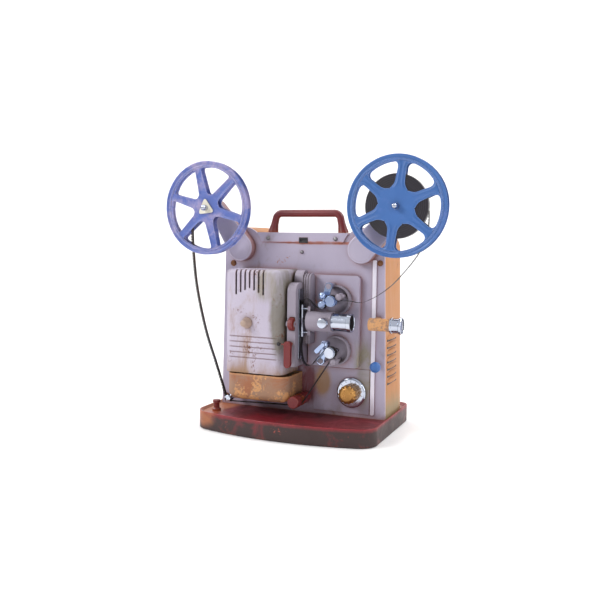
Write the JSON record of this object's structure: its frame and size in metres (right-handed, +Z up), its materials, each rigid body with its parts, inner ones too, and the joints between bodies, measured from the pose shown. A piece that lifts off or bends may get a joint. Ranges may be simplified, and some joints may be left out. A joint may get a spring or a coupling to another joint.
{
  "type": "film projector",
  "caption": "Small-gauge cine film projector in worn enamel, with folding reel arms, threaded film, lamp house, lens and a traylike base.",
  "frame": {"origin": "centre of the base's plan, on the surface that the feet stand on", "axes": "+X to the right seen from the front, along the reels; +Y to the back, away from the lens side; +Z up"},
  "size_m": [0.3932, 0.191, 0.3622],
  "materials": {
    "body_enamel": "worn lavender-grey hammered enamel",
    "side_enamel": "worn tan enamel",
    "base_enamel": "maroon enamel",
    "lamp_base_enamel": "rusty tan enamel",
    "gate_metal": "grey cast alloy",
    "chrome_plate": "polished",
    "satin_steel": "satin",
    "aluminium_trim": "bright",
    "reel_enamel": "blue enamel, worn",
    "handle_plastic": "maroon",
    "maroon_plastic": "maroon",
    "black_plastic": "black",
    "gold_knob": "gold finish",
    "gear_brass": "turned",
    "knob_plastic": "aged",
    "clear_glass": "clear",
    "black_rubber": "matte",
    "film_stock": "black film"
  },
  "bodies": {
    "machine": {"base_tray": "base_enamel", "base_plate": "satin_steel", "base_feet": "black_rubber", "cover_post": "maroon_plastic", "front_panel": "body_enamel", "rear_housing": "side_enamel", "top_strip": "body_enamel", "cover_latch": "black_plastic", "carry_handle": "handle_plastic", "panel_screws": "satin_steel", "lens_plate": "body_enamel", "control_panel": "body_enamel", "trim_strip": "aluminium_trim", "lamp_base": "lamp_base_enamel", "lamp_bulb": "clear_glass", "lamp_socket": "black_plastic", "reflector_bracket": "satin_steel", "condenser_lens": "clear_glass", "gate_casting": "gate_metal", "aperture_plate": "chrome_plate", "lens_holder": "gate_metal", "attachment_tube": "side_enamel", "sprocket_shoes": "gate_metal", "motor": "satin_steel", "mechanism_frame": "satin_steel", "power_inlet": "black_plastic", "film_supply": "film_stock", "film_gate": "film_stock", "film_takeup": "film_stock", "drive_belt": "black_rubber"},
    "supply_arm": {"supply_arm": "body_enamel"},
    "takeup_arm": {"takeup_arm": "body_enamel"},
    "supply_reel": {"supply_spindle": "chrome_plate", "supply_reel": "reel_enamel", "film_roll": "film_stock"},
    "takeup_reel": {"takeup_spindle": "chrome_plate", "takeup_reel": "reel_enamel"},
    "lamp_cover": {"lamp_cover": "body_enamel"},
    "lamp_cover_knob": {"lamp_cover_knob": "knob_plastic"},
    "framing_wheel": {"framing_wheel": "maroon_plastic"},
    "gate_lever": {"gate_lever": "maroon_plastic"},
    "lens_barrel": {"lens_barrel": "chrome_plate", "lens_glass": "clear_glass"},
    "focus_knob": {"focus_knob": "chrome_plate"},
    "attachment_ring": {"attachment_ring": "chrome_plate", "attachment_glass": "clear_glass"},
    "upper_sprocket": {"upper_sprocket": "satin_steel"},
    "lower_sprocket": {"lower_sprocket": "satin_steel"},
    "upper_keeper": {"upper_keeper": "chrome_plate"},
    "lower_keeper": {"lower_keeper": "chrome_plate"},
    "bottom_roller": {"bottom_roller": "maroon_plastic"},
    "guide_roller": {"guide_roller": "chrome_plate"},
    "switch_knob": {"switch_knob": "gold_knob"},
    "speed_dial": {"speed_dial": "chrome_plate"},
    "rewind_knob": {"rewind_knob": "reel_enamel"},
    "motor_rotor": {"motor_rotor": "satin_steel"},
    "shutter": {"shutter_shaft": "satin_steel"},
    "idler_gear": {"idler_gear": "gear_brass"},
    "claw": {"claw": "chrome_plate"},
    "pressure_plate": {"pressure_plate": "chrome_plate"}
  },
  "joints": [
    {"name": "supply_arm_fold", "type": "hinge", "parent": "machine", "child": "supply_arm", "pos_m": [0.0873, -0.017, 0.244], "axis": [0, 1, 0], "range_deg": [-45, 0], "deforming": ["film_supply"]},
    {"name": "takeup_arm_fold", "type": "hinge", "parent": "machine", "child": "takeup_arm", "pos_m": [-0.0873, -0.017, 0.244], "axis": [0, 1, 0], "range_deg": [0, 45], "deforming": ["film_takeup"]},
    {"name": "supply_reel_spin", "type": "hinge", "parent": "supply_arm", "child": "supply_reel", "pos_m": [0.14009, -0.043, 0.29867], "axis": [0, 1, 0], "continuous": true},
    {"name": "takeup_reel_spin", "type": "hinge", "parent": "takeup_arm", "child": "takeup_reel", "pos_m": [-0.12609, -0.043, 0.2974], "axis": [0, 1, 0], "continuous": true},
    {"name": "lamp_cover_slide", "type": "slide", "parent": "machine", "child": "lamp_cover", "axis": [0, -1, 0], "range_m": [0, 0.06]},
    {"name": "lamp_cover_knob_turn", "type": "hinge", "parent": "lamp_cover", "child": "lamp_cover_knob", "pos_m": [-0.054, -0.07, 0.146], "axis": [0, 1, 0], "range_deg": [0, 180]},
    {"name": "framing_turn", "type": "hinge", "parent": "machine", "child": "framing_wheel", "pos_m": [0.008, -0.059, 0.1473], "axis": [1, 0, 0], "range_deg": [-20, 20]},
    {"name": "gate_lever_swing", "type": "hinge", "parent": "machine", "child": "gate_lever", "pos_m": [0.007, -0.069, 0.1215], "axis": [0, 1, 0], "range_deg": [-35, 0]},
    {"name": "lens_focus_slide", "type": "slide", "parent": "machine", "child": "lens_barrel", "axis": [1, 0, 0], "range_m": [-0.0028, 0.0028]},
    {"name": "focus_knob_turn", "type": "hinge", "parent": "machine", "child": "focus_knob", "pos_m": [0.052, -0.06, 0.151], "axis": [0, 1, 0], "range_deg": [-41, 41]},
    {"name": "attachment_ring_turn", "type": "hinge", "parent": "machine", "child": "attachment_ring", "pos_m": [0.142, -0.043, 0.151], "axis": [1, 0, 0], "range_deg": [-60, 60]},
    {"name": "upper_keeper_swing", "type": "hinge", "parent": "machine", "child": "upper_keeper", "pos_m": [0.05, -0.036, 0.1965], "axis": [0, 1, 0], "range_deg": [0, 20], "stiffness_Nm_per_rad": 0.02, "springref_deg": -17.19},
    {"name": "lower_keeper_swing", "type": "hinge", "parent": "machine", "child": "lower_keeper", "pos_m": [0.04, -0.036, 0.098], "axis": [0, 1, 0], "range_deg": [-20, 0], "stiffness_Nm_per_rad": 0.02, "springref_deg": 28.65},
    {"name": "bottom_roller_spin", "type": "hinge", "parent": "machine", "child": "bottom_roller", "pos_m": [0.011, -0.04, 0.044], "axis": [0, 1, 0], "continuous": true},
    {"name": "guide_roller_spin", "type": "hinge", "parent": "machine", "child": "guide_roller", "pos_m": [-0.092, -0.043, 0.0377], "axis": [0, 1, 0], "continuous": true},
    {"name": "switch_turn", "type": "hinge", "parent": "machine", "child": "switch_knob", "pos_m": [0.0753, -0.025, 0.0548], "axis": [0, 1, 0], "range_deg": [-60, 120]},
    {"name": "speed_dial_turn", "type": "hinge", "parent": "machine", "child": "speed_dial", "pos_m": [0.0753, -0.014, 0.0548], "axis": [0, 1, 0], "range_deg": [-60, 210]},
    {"name": "rewind_push", "type": "slide", "parent": "machine", "child": "rewind_knob", "axis": [0, 1, 0], "range_m": [0, 0.006], "stiffness_N_per_m": 60, "springref_m": -0.004},
    {"name": "motor_spin", "type": "hinge", "parent": "machine", "child": "motor_rotor", "pos_m": [-0.03, 0.042, 0.075], "axis": [1, 0, 0], "continuous": true},
    {"name": "shutter_spin", "type": "hinge", "parent": "machine", "child": "shutter", "pos_m": [0.04, 0.002, 0.164], "axis": [1, 0, 0], "continuous": true},
    {"name": "idler_spin", "type": "hinge", "parent": "machine", "child": "idler_gear", "pos_m": [0.056, 0, 0.1445], "axis": [0, 1, 0], "continuous": true},
    {"name": "upper_sprocket_spin", "type": "hinge", "parent": "machine", "child": "upper_sprocket", "pos_m": [0.056, 0, 0.178], "axis": [0, 1, 0], "continuous": true},
    {"name": "lower_sprocket_spin", "type": "hinge", "parent": "machine", "child": "lower_sprocket", "pos_m": [0.056, 0, 0.111], "axis": [0, 1, 0], "continuous": true},
    {"name": "claw_pulldown", "type": "slide", "parent": "machine", "child": "claw", "axis": [0, 0, 1], "range_m": [-0.00381, 0]},
    {"name": "pressure_plate_push", "type": "slide", "parent": "machine", "child": "pressure_plate", "axis": [1, 0, 0], "range_m": [0, 0.003], "stiffness_N_per_m": 80, "springref_m": -0.003}
  ],
  "couplings": [
    {"joint": "shutter_spin", "follows": "motor_spin", "ratio": 0.6},
    {"joint": "idler_spin", "follows": "motor_spin", "ratio": 0.095652},
    {"joint": "upper_sprocket_spin", "follows": "motor_spin", "ratio": -0.05},
    {"joint": "lower_sprocket_spin", "follows": "motor_spin", "ratio": -0.05},
    {"joint": "focus_knob_turn", "follows": "lens_focus_slide", "rad_per_m": 250}
  ]
}
